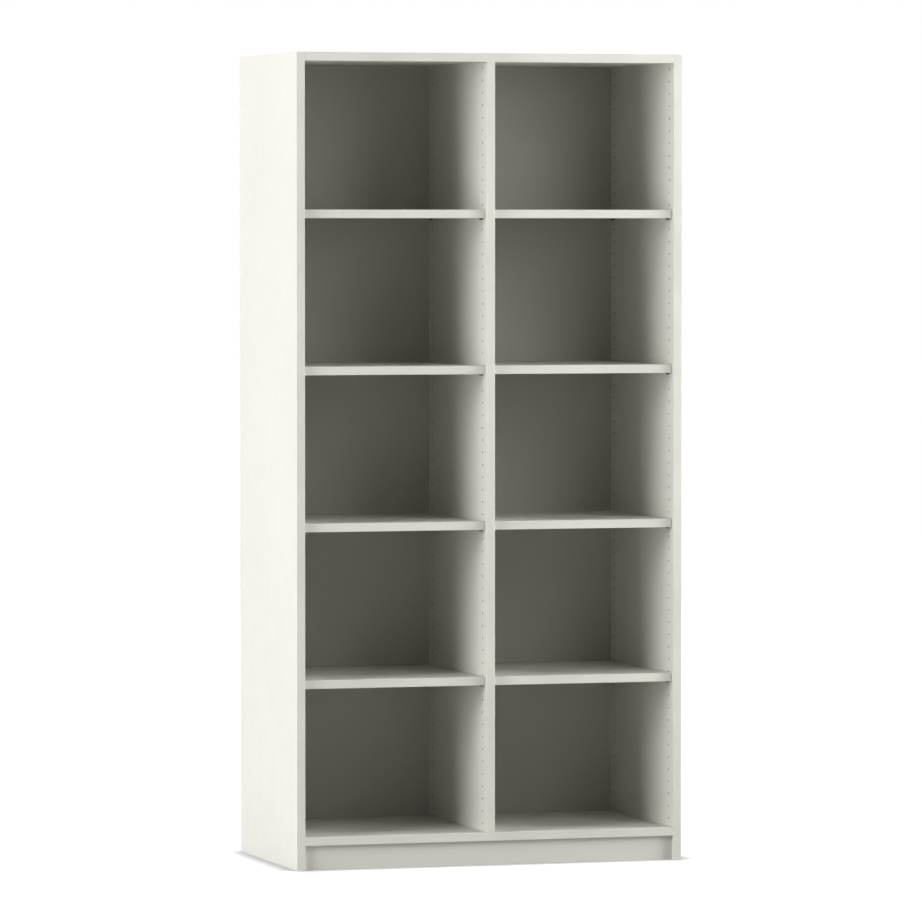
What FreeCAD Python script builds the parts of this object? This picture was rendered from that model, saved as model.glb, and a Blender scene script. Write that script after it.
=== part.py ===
import FreeCAD, Part
import os
import re
import Sketcher

# Two-bay bookcase with adjustable shelves, in millimetres.
# It stands on z = 0 and is centred on x = 0 and y = 0, with its open front towards -Y.

# Driving dimensions: every length that can be chosen by itself
SIZES = {
    # The whole bookcase
    "overall_width": 1040,
    "overall_depth": 550,
    "overall_height": 2095,
    "board_thickness": 22,
    # Bands glued to the front edges of the boards
    "band_thickness": 1,
    # Plinth boards and the bearer between them
    "plinth_height": 63,
    "plinth_thickness": 18,
    "plinth_recess": 13,
    # Back panels and the grooves that hold them
    "back_thickness": 8,
    "back_setback": 28,
    "groove_depth": 7,
    "groove_clearance": 0.3,
    # Room around each shelf
    "shelf_front_recess": 13,
    "shelf_side_gap": 1.2,
    "shelf_rear_gap": 1,
    # Rows of shelf holes, each hole measured across its flats, or its diameter where it is round
    "row_hole_width": 5,
    "row_hole_depth": 12,
    "row_pitch": 32,
    "row_setback": 37,
    "row_end_margin": 15,
    "row_back_margin": 25,
    # Shelf support pins: their play in a hole, the room past their ends there, and their reach under a shelf
    "pin_play": 0.1,
    "pin_end_room": 2,
    "pin_reach": 9,
    # Places of the fixings, from the front and from the rear
    "fixing_setback": 60,
    "fixing_spacing": 32,
    # Cam locks and their bolts
    "lock_diameter": 15,
    "lock_height": 12.5,
    "lock_setback": 34,
    "lock_slot_length": 9,
    "lock_slot_width": 1.6,
    "lock_slot_depth": 2.5,
    "bolt_diameter": 6.5,
    "bolt_insertion": 11,
    "bolt_overrun": 2,
    # Dowels
    "dowel_diameter": 8,
    "dowel_length": 32,
    "dowel_insertion": 11,
    # Screws through the top and the bottom into the divider
    "screw_diameter": 6.4,
    "screw_length": 50,
    "screw_head_diameter": 10,
    "screw_head_height": 3.5,
    # Room around every fixing in its hole, and beyond its end
    "fit_clearance": 0.15,
    "end_room": 0.5,
}

# Counts: shelves in a bay, and the flat sides that stand for each round form
SHELF_ROWS = 4
HOLE_SIDES = 6
PIN_SIDES = 6
DOWEL_SIDES = 6
LOCK_SIDES = 8
BOLT_SIDES = 6
SCREW_SIDES = 6

# Size of the chamfers on a band, as a share of its thickness
BAND_CHAMFER_SHARE = 0.6

# Heights of the two dowels at each end of a plinth board, as shares of the plinth's height
PLINTH_DOWEL_SHARES = (0.25, 0.75)

# Lengths that follow from the driving dimensions
DERIVED = {
    "front": "-overall_depth / 2",
    "rear": "overall_depth / 2",
    "half_width": "overall_width / 2",
    "half_board": "board_thickness / 2",
    "board_front": "front + band_thickness",
    "band_chamfer": f"{BAND_CHAMFER_SHARE} * band_thickness",
    "board_depth": "overall_depth - band_thickness",
    "inner_width": "overall_width - 2 * board_thickness",
    "inner_half": "inner_width / 2",
    "inner_bottom": "plinth_height + board_thickness",
    "inner_top": "overall_height - board_thickness",
    "inner_height": "inner_top - inner_bottom",
    "bay_width": "(inner_width - board_thickness) / 2",
    "clear_height": f"(inner_height - {SHELF_ROWS} * board_thickness) / {SHELF_ROWS + 1}",
    "back_front": "rear - back_setback - back_thickness",
    "back_tongue": "groove_depth - groove_clearance",
    "groove_width": "back_thickness + groove_clearance",
    "plinth_front": "front + plinth_recess",
    "bearer_front": "plinth_front + plinth_thickness",
    "rail_front": "rear - back_setback - plinth_thickness",
    "shelf_front": "front + shelf_front_recess",
    "shelf_depth": "back_front - shelf_rear_gap - shelf_front",
    "shelf_width": "bay_width - 2 * shelf_side_gap",
    "shelf_pitch": "clear_height + board_thickness",
    "first_underside": "inner_bottom + clear_height",
    "row_front": "front + row_setback",
    "row_steps_back": "floor((back_front - row_back_margin - row_front) / row_pitch)",
    "row_spacing": "row_steps_back * row_pitch",
    "row_rear": "row_front + row_spacing",
    "row_steps_up": "floor((inner_height - 2 * row_end_margin) / row_pitch)",
    "row_bottom": "inner_top - row_end_margin - row_steps_up * row_pitch",
    "row_hole_radius": f"row_hole_width / 2 / cos(180 / {HOLE_SIDES})",
    "pin_diameter": "row_hole_width - pin_play",
    "pin_insertion": "min(row_hole_depth - pin_end_room; (board_thickness - pin_end_room) / 2)",
    "pin_seat": f"pin_diameter / 2 * cos(180 / {PIN_SIDES})",
    "first_support": "first_underside - pin_seat",
    "top_middle": "overall_height - half_board",
    "bottom_middle": "plinth_height + half_board",
    "fixing_front": "front + fixing_setback",
    "fixing_rear": "rear - fixing_setback",
    "lock_hole_radius": "lock_diameter / 2 + fit_clearance",
    "bolt_hole_radius": "bolt_diameter / 2 + fit_clearance",
    "bolt_reach": "lock_setback + bolt_overrun",
    "dowel_hole_radius": "dowel_diameter / 2 + fit_clearance",
    "dowel_reach": "dowel_length - dowel_insertion",
    "screw_hole_radius": "screw_diameter / 2 + fit_clearance",
    "screw_head_radius": "screw_head_diameter / 2 + fit_clearance",
}

WORD = re.compile(r"[a-z][a-z_]*")
X_AXIS = FreeCAD.Vector(1, 0, 0)
Y_AXIS = FreeCAD.Vector(0, 1, 0)
Z_AXIS = FreeCAD.Vector(0, 0, 1)

# Turns that point a piece's own +Z axis along a direction
TURN = {
    "+X": FreeCAD.Rotation(Y_AXIS, 90),
    "-X": FreeCAD.Rotation(Y_AXIS, -90),
    "+Y": FreeCAD.Rotation(X_AXIS, -90),
    "-Y": FreeCAD.Rotation(X_AXIS, 90),
    "+Z": FreeCAD.Rotation(),
    "-Z": FreeCAD.Rotation(X_AXIS, 180),
}

# The two sides: the sign that takes a formula there, and the ways out of and into the bookcase
SIDES = {
    "left": {"sign": "-", "out": "-X", "in": "+X"},
    "right": {"sign": "", "out": "+X", "in": "-X"},
}

document = FreeCAD.newDocument("Bookcase")
nodes = []
bands = []
corners = {}


def formula(text):
    """Write each size's name in a formula with the object that holds it."""
    def full_name(match):
        word = match.group()
        if word in SIZES:
            return "Sizes." + word
        if word in DERIVED:
            return "Derived." + word
        return word
    return WORD.sub(full_name, text)


def written_out(text):
    """A formula with each derived length written out in driving dimensions."""
    def full_text(match):
        word = match.group()
        if word in DERIVED:
            return "(" + written_out(DERIVED[word]) + ")"
        return formula(word)
    return WORD.sub(full_text, text)


def bind(item, path, text):
    """Tie one property of an object to a formula of the sizes."""
    item.setExpression(path, formula(text))


def bind_place(item, place):
    """Tie an object's position to three formulas."""
    for letter, text in zip("xyz", place):
        bind(item, "Placement.Base." + letter, text)


def make_sizes():
    """The driving dimensions in a sheet, one row each, and the lengths that follow from them."""
    sheet = document.addObject("Spreadsheet::Sheet", "Sizes")
    for row, (name, number) in enumerate(SIZES.items(), start=1):
        sheet.set(f"A{row}", name)
        sheet.set(f"B{row}", str(number))
        sheet.setAlias(f"B{row}", name)
    document.recompute()
    derived = document.addObject("App::VarSet", "Derived")
    for name, text in DERIVED.items():
        derived.addProperty("App::PropertyFloat", name)
        derived.setExpression(name, written_out(text))
    document.recompute()
    return sheet, derived


def origin_feature(body, role):
    """A plane or an axis of the body's own origin."""
    return next(item for item in body.Origin.OriginFeatures if item.Role == role)


def new_body(label, corner):
    """An empty body, placed by its reference corner."""
    body = document.addObject("PartDesign::Body", label)
    body.Label = label
    bind_place(body, corner)
    corners[label] = corner
    return body


def inside(body, place):
    """A place in the bookcase, as the body's own coordinates."""
    return [f"({text}) - ({start})" for text, start in zip(place, corners[body.Label])]


def rectangle(body, plane, first, second):
    """A sketch of a rectangle with one corner on the body's origin."""
    sketch = body.newObject("Sketcher::SketchObject", body.Label + "_outline")
    sketch.AttachmentSupport = [(origin_feature(body, plane), "")]
    sketch.MapMode = "FlatFace"
    ends = [FreeCAD.Vector(), X_AXIS, X_AXIS + Y_AXIS, Y_AXIS]
    for index in range(4):
        sketch.addGeometry(Part.LineSegment(ends[index], ends[(index + 1) % 4]))
    for index in range(4):
        sketch.addConstraint(Sketcher.Constraint("Coincident", index, 2, (index + 1) % 4, 1))
    sketch.addConstraint(Sketcher.Constraint("Coincident", 0, 1, -1, 1))
    for index, way in enumerate(("Horizontal", "Vertical", "Horizontal", "Vertical")):
        sketch.addConstraint(Sketcher.Constraint(way, index))
    for name, way, line, text in (("across", "DistanceX", 0, first), ("up", "DistanceY", 1, second)):
        constraint = sketch.addConstraint(Sketcher.Constraint(way, line, 1, line, 2, 1))
        sketch.renameConstraint(constraint, name)
        bind(sketch, "Constraints." + name, text)
    sketch.Visibility = False
    return sketch


def board(label, plane, sizes, corner, reverse=False):
    """A board: a rectangle on one plane, padded by the board's thickness."""
    first, second, thickness = sizes
    body = new_body(label, corner)
    pad = body.newObject("PartDesign::Pad", label + "_pad")
    pad.Profile = rectangle(body, plane, first, second)
    pad.Reversed = reverse
    bind(pad, "Length", thickness)
    body.Tip = pad
    nodes.append(body)
    return body


def front_band(label, width, height, corner):
    """A thin band on the front edge of a board."""
    bands.append(board(label, "XZ_Plane", (width, height, "band_thickness"), corner, reverse=True))


def chamfer_bands():
    """Take the sharpness off the two long front edges of every band."""
    document.recompute()
    for body in bands:
        pad = body.Tip
        front_edges = [
            (edge.Length, f"Edge{index}")
            for index, edge in enumerate(pad.Shape.Edges, start=1)
            if edge.BoundBox.YMax < sheet.band_thickness / 2
        ]
        chamfer = body.newObject("PartDesign::Chamfer", body.Label + "_chamfer")
        chamfer.Base = (pad, [name for length, name in sorted(front_edges)[-2:]])
        bind(chamfer, "Size", "band_chamfer")
        body.Tip = chamfer


def cut_box(body, name, place, sizes):
    """A straight groove or slot, cut between two places."""
    box = body.newObject("PartDesign::SubtractiveBox", name)
    box.Refine = False
    for path, text in zip(("Length", "Width", "Height"), sizes):
        bind(box, path, text)
    bind_place(box, inside(body, place))
    body.Tip = box


def flat_sides(prism, sides, turn):
    """Give a prism its number of sides, with one flat square to its first axis."""
    prism.Polygon = sides
    prism.Placement.Rotation = turn.multiply(FreeCAD.Rotation(Z_AXIS, 180 / sides))


def drill(body, name, place, way, sides, radius, depth):
    """A hole from a place in the bookcase, along a direction."""
    hole = body.newObject("PartDesign::SubtractivePrism", name)
    hole.Refine = False
    flat_sides(hole, sides, TURN[way])
    bind(hole, "Circumradius", radius)
    bind(hole, "Height", depth)
    bind_place(hole, inside(body, place))
    body.Tip = hole
    return hole


def rod(body, name, sides, diameter, start, length):
    """One straight length of a small piece, along the piece's own Z axis."""
    prism = body.newObject("PartDesign::AdditivePrism", name)
    flat_sides(prism, sides, TURN["+Z"])
    bind(prism, "Circumradius", diameter + " / 2")
    bind(prism, "Height", length)
    bind(prism, "Placement.Base.z", start)
    body.Tip = prism


def small_piece(label):
    """The one model of a small piece that its sets of copies link to."""
    return new_body(label, ("0", "0", "0"))


def copies(label, piece, places):
    """A set of like pieces in one node: links to one model, each with its place and turn."""
    links = []
    for index, (place, turn) in enumerate(places, start=1):
        link = document.addObject("App::Link", f"{label}_{index}")
        link.LinkedObject = piece
        link.Placement.Rotation = turn
        bind_place(link, place)
        links.append(link)
    group = document.addObject("Part::Compound", label)
    group.Label = label
    group.Links = links
    nodes.append(group)


def row_heights():
    """Heights of the holes in a row: an even grid, where the hole nearest each shelf is that shelf's own."""
    heights = [derived.row_bottom + step * sheet.row_pitch for step in range(round(derived.row_steps_up) + 1)]
    for row in range(SHELF_ROWS):
        support = derived.first_support + row * derived.shelf_pitch
        nearest = min(range(len(heights)), key=lambda step: abs(heights[step] - support))
        heights[nearest] = support
    return heights


def bore(body, name, place, way, depth):
    """A round hole of a row, from a place in the bookcase, along a direction."""
    hole = body.newObject("PartDesign::SubtractiveCylinder", name)
    hole.Refine = False
    hole.Placement.Rotation = TURN[way]
    bind(hole, "Radius", "row_hole_width / 2")
    bind(hole, "Height", depth)
    bind_place(hole, inside(body, place))
    body.Tip = hole


def drill_rows(body, x, way, depth):
    """The front and rear rows of shelf holes in one face.

    The two holes halfway up the front row are round, as a hinge plate or a runner takes them.
    """
    heights = row_heights()
    middle = (len(heights) - 1) // 2
    for step in (middle, middle + 1):
        name = f"{body.Label}_hole_{step}"
        height = f"row_bottom + {step} * row_pitch"
        bore(body, name + "_front", (x, "row_front", height), way, depth)
        drill(body, name + "_rear", (x, "row_rear", height), way, HOLE_SIDES, "row_hole_radius", depth)
    del heights[middle:middle + 2]
    hole = drill(body, body.Label + "_row_hole", (x, "row_front", "row_bottom"), way, HOLE_SIDES,
                 "row_hole_radius", depth)
    rows = body.newObject("PartDesign::LinearPattern", body.Label + "_rows")
    rows.Originals = [hole]
    rows.Refine = False
    rows.Direction = (origin_feature(body, "Z_Axis"), [""])
    rows.Mode = "Spacing"
    bind(rows, "Offset", "row_pitch")
    rows.Occurrences = len(heights)
    rows.Spacings = [upper - lower for lower, upper in zip(heights, heights[1:])]
    rows.Direction2 = (origin_feature(body, "Y_Axis"), [""])
    bind(rows, "Length2", "row_spacing")
    rows.Occurrences2 = 2
    body.Tip = rows


def uprights():
    """The two sides and the centre divider, with hole rows and grooves for the back panels."""
    made = {}
    for side, ways in SIDES.items():
        face = ways["sign"] + "inner_half"
        body = board(
            side + "_side_panel", "YZ_Plane", ("board_depth", "overall_height", "board_thickness"),
            (face, "board_front", "0"), reverse=side == "left",
        )
        groove_start = face if side == "right" else face + " - groove_depth"
        cut_box(
            body, side + "_side_groove", (groove_start, "back_front", "0"),
            ("groove_depth", "groove_width", "overall_height"),
        )
        outer = "-half_width" if side == "left" else "inner_half"
        front_band(side + "_side_edge_band", "board_thickness", "overall_height", (outer, "front", "0"))
        made[side] = body
    divider = board(
        "centre_divider", "YZ_Plane", ("board_depth", "inner_height", "board_thickness"),
        ("-half_board", "board_front", "inner_bottom"),
    )
    for side, start in (("left", "-half_board"), ("right", "half_board - groove_depth")):
        cut_box(
            divider, side + "_divider_groove", (start, "back_front", "inner_bottom"),
            ("groove_depth", "groove_width", "inner_height"),
        )
    front_band("divider_edge_band", "board_thickness", "inner_height", ("-half_board", "front", "inner_bottom"))
    made["divider"] = divider
    return made


def level_board(name, bottom, groove_bottom):
    """The top or the bottom, between the sides, with a groove for the back panels and its band."""
    body = board(
        name + "_panel", "XY_Plane", ("inner_width", "board_depth", "board_thickness"),
        ("-inner_half", "board_front", bottom),
    )
    cut_box(
        body, name + "_groove", ("-inner_half", "back_front", groove_bottom),
        ("inner_width", "groove_width", "groove_depth"),
    )
    front_band(name + "_edge_band", "inner_width", "board_thickness", ("-inner_half", "front", bottom))
    return body


def back_panels():
    """A thin panel behind each bay, in the grooves of the boards around it."""
    starts = {"left": "-inner_half - back_tongue", "right": "half_board - back_tongue"}
    for side, start in starts.items():
        board(
            side + "_back_panel", "XZ_Plane",
            ("bay_width + 2 * back_tongue", "inner_height + 2 * back_tongue", "back_thickness"),
            (start, "back_front", "inner_bottom - back_tongue"), reverse=True,
        )


def plinth_boards():
    """The front plinth board, the rear rail and the bearer between them."""
    made = {}
    for name, start in (("plinth_board", "plinth_front"), ("rear_plinth_rail", "rail_front")):
        made[name] = board(
            name, "XZ_Plane", ("inner_width", "plinth_height", "plinth_thickness"),
            ("-inner_half", start, "0"), reverse=True,
        )
    made["bearer"] = board(
        "plinth_bearer", "YZ_Plane", ("rail_front - bearer_front", "plinth_height", "plinth_thickness"),
        ("-plinth_thickness / 2", "bearer_front", "0"),
    )
    return made


def shelves():
    """The loose shelves, each with its front band, and the four pins under each one."""
    pin = small_piece("support_pin")
    rod(pin, "pin_shank", PIN_SIDES, "pin_diameter", "-pin_insertion", "pin_insertion + pin_reach")
    bays = {"left": "-inner_half", "right": "half_board"}
    for side, bay_start in bays.items():
        start = bay_start + " + shelf_side_gap"
        for row in range(SHELF_ROWS):
            name = f"{side}_shelf_{row + 1}"
            underside = f"first_underside + {row} * shelf_pitch"
            board(
                name, "XY_Plane", ("shelf_width", "shelf_depth - band_thickness", "board_thickness"),
                (start, "shelf_front + band_thickness", underside),
            )
            front_band(name + "_edge_band", "shelf_width", "board_thickness", (start, "shelf_front", underside))
            height = f"first_support + {row} * shelf_pitch"
            places = [
                ((x, y, height), TURN[way])
                for x, way in ((bay_start, "+X"), (bay_start + " + bay_width", "-X"))
                for y in ("row_front", "row_rear")
            ]
            copies(name + "_supports", pin, places)


def lock_model():
    """A cam lock: a drum with a driver slot in its face and a jaw open to the bolt's side."""
    lock = small_piece("cam_lock")
    rod(lock, "lock_drum", LOCK_SIDES, "lock_diameter", "0", "lock_height")
    jaw_start = "half_board - bolt_hole_radius"
    cut_box(
        lock, "lock_jaw", ("-lock_diameter / 2", "-bolt_hole_radius", jaw_start),
        ("lock_diameter / 2 + bolt_overrun + end_room", "2 * bolt_hole_radius", f"lock_height - ({jaw_start})"),
    )
    cut_box(
        lock, "lock_slot", ("-lock_slot_length / 2", "-lock_slot_width / 2", "0"),
        ("lock_slot_length", "lock_slot_width", "lock_slot_depth"),
    )
    return lock


def bolt_model():
    """The bolt that stands in a side panel and reaches into a cam lock."""
    bolt = small_piece("cam_bolt")
    rod(bolt, "bolt_shank", BOLT_SIDES, "bolt_diameter", "-bolt_insertion", "bolt_insertion + bolt_reach")
    return bolt


def dowel_model():
    """A wooden dowel, its origin on the plane where the two boards meet."""
    dowel = small_piece("dowel")
    rod(dowel, "dowel_body", DOWEL_SIDES, "dowel_diameter", "-dowel_insertion", "dowel_length")
    return dowel


def screw_model():
    """A flat-headed screw for board edges, its origin at the face of its head."""
    screw = small_piece("panel_screw")
    rod(screw, "screw_shank", SCREW_SIDES, "screw_diameter", "0", "screw_length")
    rod(screw, "screw_head", SCREW_SIDES, "screw_head_diameter", "0", "screw_head_height")
    return screw


def dowel_joint(seat, end, name, place, way):
    """Holes for one dowel: the short one into a face, the long one into the end that meets it."""
    opposite = {"+": "-", "-": "+"}[way[0]] + way[1]
    drill(seat, name + "_seat", place, opposite, DOWEL_SIDES, "dowel_hole_radius", "dowel_insertion + end_room")
    drill(end, name + "_end", place, way, DOWEL_SIDES, "dowel_hole_radius", "dowel_reach + end_room")
    return (place, TURN[way])


def corner_fixings(name, panel, made, lock, bolt, dowel):
    """Cam locks, bolts and dowels between one level board and the two sides."""
    if name == "top":
        face, middle, lock_way = "overall_height", "top_middle", "-Z"
    else:
        face, middle, lock_way = "plinth_height", "bottom_middle", "+Z"
    locks = []
    bolts = []
    dowels = []
    for side, ways in SIDES.items():
        joint = ways["sign"] + "inner_half"
        lock_x = f"{ways['sign']}(inner_half - lock_setback)"
        half_turn = FreeCAD.Rotation(Z_AXIS, 0 if side == "left" else 180)
        for end, inward in (("front", "+"), ("rear", "-")):
            label = f"{name}_{side}_{end}"
            y = "fixing_" + end
            drill(
                panel, label + "_lock_hole", (lock_x, y, face), lock_way, LOCK_SIDES,
                "lock_hole_radius", "lock_height + end_room",
            )
            place = (joint, y, middle)
            drill(
                panel, label + "_bolt_bore", place, ways["in"], BOLT_SIDES,
                "bolt_hole_radius", "bolt_reach + end_room",
            )
            drill(
                made[side], label + "_bolt_hole", place, ways["out"], BOLT_SIDES,
                "bolt_hole_radius", "bolt_insertion + end_room",
            )
            locks.append(((lock_x, y, face), TURN[lock_way].multiply(half_turn)))
            bolts.append((place, TURN[ways["in"]]))
            dowel_place = (joint, f"{y} {inward} fixing_spacing", middle)
            dowels.append(dowel_joint(made[side], panel, label + "_dowel", dowel_place, ways["in"]))
    copies(name + "_cam_locks", lock, locks)
    copies(name + "_cam_bolts", bolt, bolts)
    copies(name + "_dowels", dowel, dowels)


def divider_fixings(panels, divider, dowel, screw):
    """Screws and dowels between the divider and the boards above and below it."""
    screws = []
    dowels = []
    levels = {"top": ("overall_height", "inner_top", "-Z"), "bottom": ("plinth_height", "inner_bottom", "+Z")}
    for name, (face, joint, way) in levels.items():
        for end, inward in (("front", "+"), ("rear", "-")):
            label = f"divider_{name}_{end}"
            y = f"fixing_{end} {inward} fixing_spacing"
            place = ("0", y, face)
            drill(panels[name], label + "_head", place, way, SCREW_SIDES, "screw_head_radius", "screw_head_height")
            drill(panels[name], label + "_shank", place, way, SCREW_SIDES, "screw_hole_radius", "board_thickness")
            drill(
                divider, label + "_pilot", ("0", y, joint), way, SCREW_SIDES,
                "screw_hole_radius", "screw_length - board_thickness + end_room",
            )
            screws.append((place, TURN[way]))
            dowel_place = ("0", f"fixing_{end} {inward} 2 * fixing_spacing", joint)
            dowels.append(dowel_joint(panels[name], divider, label + "_dowel", dowel_place, way))
    copies("divider_screws", screw, screws)
    copies("divider_dowels", dowel, dowels)


def plinth_fixings(made, plinth, dowel):
    """Dowels that hold the plinth boards to the sides, and one at each end of the bearer."""
    end_dowels = []
    for share in PLINTH_DOWEL_SHARES:
        height = f"{share} * plinth_height"
        for name, start in (("plinth_board", "plinth_front"), ("rear_plinth_rail", "rail_front")):
            for side, ways in SIDES.items():
                place = (ways["sign"] + "inner_half", start + " + plinth_thickness / 2", height)
                label = f"{name}_{side}_{round(share * 100)}"
                end_dowels.append(dowel_joint(made[side], plinth[name], label, place, ways["in"]))
    bearer_dowels = []
    for name, joint, way in (("plinth_board", "bearer_front", "+Y"), ("rear_plinth_rail", "rail_front", "-Y")):
        place = ("0", joint, "plinth_height / 2")
        bearer_dowels.append(dowel_joint(plinth[name], plinth["bearer"], "bearer_" + name, place, way))
    copies("plinth_dowels", dowel, end_dowels)
    copies("bearer_dowels", dowel, bearer_dowels)


def build():
    """Every piece of the bookcase."""
    made = uprights()
    panels = {
        "top": level_board("top", "inner_top", "inner_top"),
        "bottom": level_board("bottom", "plinth_height", "inner_bottom - groove_depth"),
    }
    back_panels()
    plinth = plinth_boards()
    shelves()
    lock = lock_model()
    bolt = bolt_model()
    dowel = dowel_model()
    screw = screw_model()
    for name, panel in panels.items():
        corner_fixings(name, panel, made, lock, bolt, dowel)
    divider_fixings(panels, made["divider"], dowel, screw)
    plinth_fixings(made, plinth, dowel)
    for side, ways in SIDES.items():
        drill_rows(made[side], ways["sign"] + "inner_half", ways["out"], "row_hole_depth")
    drill_rows(made["divider"], "-half_board", "+X", "board_thickness")
    chamfer_bands()
    document.recompute()


def checked_shapes():
    """The shape of every node; stops if any object failed, or a piece is empty or not valid."""
    for item in document.Objects:
        if "Invalid" in item.State or "Error" in item.State:
            raise RuntimeError(f"{item.Label} is {item.State}")
    shapes = {node.Label: node.Shape for node in nodes}
    for label, shape in shapes.items():
        if shape.isNull() or not shape.isValid() or not shape.Solids:
            raise RuntimeError(f"{label} has no valid solid")
    return shapes


sheet, derived = make_sizes()
build()
shapes = checked_shapes()
os.makedirs("parts", exist_ok=True)
for label, shape in shapes.items():
    shape.exportStep(f"parts/{label}.step")
print(len(shapes), "nodes,", sum(len(shape.Solids) for shape in shapes.values()), "solids")
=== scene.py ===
import math
from collections import namedtuple

import bmesh
import bpy
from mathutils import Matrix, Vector


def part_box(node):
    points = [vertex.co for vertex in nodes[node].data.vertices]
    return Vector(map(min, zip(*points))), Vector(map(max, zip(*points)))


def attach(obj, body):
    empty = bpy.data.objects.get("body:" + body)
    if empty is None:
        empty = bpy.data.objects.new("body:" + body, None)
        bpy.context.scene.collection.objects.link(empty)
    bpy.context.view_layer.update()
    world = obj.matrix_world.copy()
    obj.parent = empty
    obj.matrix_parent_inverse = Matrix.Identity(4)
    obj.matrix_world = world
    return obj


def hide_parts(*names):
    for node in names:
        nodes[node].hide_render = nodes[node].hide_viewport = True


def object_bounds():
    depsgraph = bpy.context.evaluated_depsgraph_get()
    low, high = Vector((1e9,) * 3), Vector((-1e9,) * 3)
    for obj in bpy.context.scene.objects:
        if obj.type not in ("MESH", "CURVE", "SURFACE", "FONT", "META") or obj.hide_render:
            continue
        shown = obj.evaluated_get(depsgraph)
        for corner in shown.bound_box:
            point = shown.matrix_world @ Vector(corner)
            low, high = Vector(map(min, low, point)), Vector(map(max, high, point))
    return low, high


# Looks of a two-bay bookcase in warm white board. Everything is in metres, in the frame of the CAD model.

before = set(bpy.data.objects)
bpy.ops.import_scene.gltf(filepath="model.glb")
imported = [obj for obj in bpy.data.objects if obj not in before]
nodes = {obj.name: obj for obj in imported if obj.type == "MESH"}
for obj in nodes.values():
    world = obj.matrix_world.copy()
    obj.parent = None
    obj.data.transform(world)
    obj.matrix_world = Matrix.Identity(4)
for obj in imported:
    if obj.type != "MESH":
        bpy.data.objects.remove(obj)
cad_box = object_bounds()

# Colours, as linear red, green and blue
WHITE = (0.64, 0.637, 0.590)
WHITE_CLOUD = (0.62, 0.616, 0.566)
# The back panels' white is greyer than the boards': partly a duller hardboard, partly painted shade at the
# back of the bays
BACK_WHITE_AND_PAINTED_SHADE = (0.475, 0.472, 0.430)
BACK_CLOUD_AND_PAINTED_SHADE = (0.455, 0.452, 0.410)
BAND_WHITE = (0.68, 0.677, 0.613)
DUST = (0.46, 0.45, 0.40)
CORE_LIGHT = (0.36, 0.30, 0.215)
CORE_DARK = (0.15, 0.118, 0.078)
# The pins' steel is dark partly as dark plating and partly as painted shade under each shelf end
DARK_STEEL_AND_PAINTED_SHADE = (0.17, 0.165, 0.15)
NICKEL = (0.56, 0.54, 0.50)
ZINC = (0.52, 0.52, 0.53)
YELLOW_ZINC = (0.62, 0.55, 0.36)
BEECH_LIGHT = (0.60, 0.42, 0.25)
BEECH_DARK = (0.42, 0.27, 0.14)
FLOOR_PALE = (0.50, 0.50, 0.50)
STUDIO_WHITE = (1.0, 1.0, 1.0)

# Wear: how far a rounded edge leans, as a cosine, where it counts as worn and where it no longer does
WORN_LEAN = 0.80
PLAIN_LEAN = 0.995
WEAR_SAMPLES = 4

# Metals: how dark their dulled patches are, and how much rougher they get
METAL_DULLING = 0.72
METAL_HAZE = 0.16

# The metals' grain: cells per metre, and relief in metres
PLATED = {"cells": 5200, "relief": 0.00001}
CAST = {"cells": 2600, "relief": 0.00004}

# Relief of the other finishes, in metres
BOARD_PEARL = 0.00003
BOARD_WAVE = 0.00007
BACK_PEARL = 0.000018
BACK_WAVE = 0.0002
BAND_WAVE = 0.00006
BAND_STREAKS = 0.000012
FLAKE_RELIEF = 0.0003
FIBRE_RELIEF = 0.0001
BEECH_RELIEF = 0.00006

# How much slower a pattern changes along its grain than across it
STREAK_SQUEEZE = 0.02
GRAIN_SQUEEZE = 0.12

# Sockets of the colour kind of Mix node, which go by number
MIX_FIRST = 6
MIX_SECOND = 7
MIX_RESULT = 2

# Rows of shelf holes: the pins give the depth of each row and the heights where a shelf lies
ROW_PITCH = 0.032
ROW_END_MARGIN = 0.015
ROW_HOLE_RADIUS = 0.0025
ROW_HOLE_DEPTH = 0.012
ROW_HOLE_RIM = 0.0003
ROW_HOLE_TIP = 0.0006

# Room around each fixing in its hole and past its end, and how far what cuts a face stands out of it
FIT = 0.00015
END_ROOM = 0.0005
OVERRUN = 0.001

# Threads: where a ridge peaks and ends, as shares of the pitch
THREAD_CREST = 0.45
THREAD_FOOT = 0.6

# Support pins
PIN_CHAMFER = 0.0005

# Beech dowels
DOWEL_RADIUS = 0.004
DOWEL_CHAMFER = 0.0012
DOWEL_FLUTES = 12
FLUTE_DEPTH = 0.0004

# Cam bolts: a thread in the side, a neck, a waist, and a head that the cam grips
BOLT_RADIUS = 0.00325
BOLT_CHAMFER = 0.0008
BOLT_THREAD_LENGTH = 0.0105
BOLT_THREAD_PITCH = 0.0018
BOLT_ROOT_RADIUS = 0.0027
BOLT_NECK_RADIUS = 0.0026
BOLT_NECK_END = 0.030
BOLT_WAIST_RADIUS = 0.0019
BOLT_HEAD_RADIUS = 0.0031
BOLT_HEAD_LENGTH = 0.0075
BOLT_CONE = 0.001
BOLT_TIP_LENGTH = 0.002
BOLT_TIP_RADIUS = 0.0020

# Cam locks: a drum with a raised rim, a driver's cross and a jaw
LOCK_RADIUS = 0.0075
LOCK_HEIGHT = 0.0125
LOCK_CHAMFER = 0.0005
LOCK_RIM_RADIUS = 0.0063
LOCK_RIM_DEPTH = 0.0006
LOCK_CROSS_REACH = 0.0046
LOCK_CROSS_WIDTH = 0.0017
LOCK_CROSS_DEPTH = 0.0024
LOCK_CROSS_TAPER = 0.8
LOCK_JAW_REACH = 0.009
LOCK_JAW_BACK = 0.0025

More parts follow.
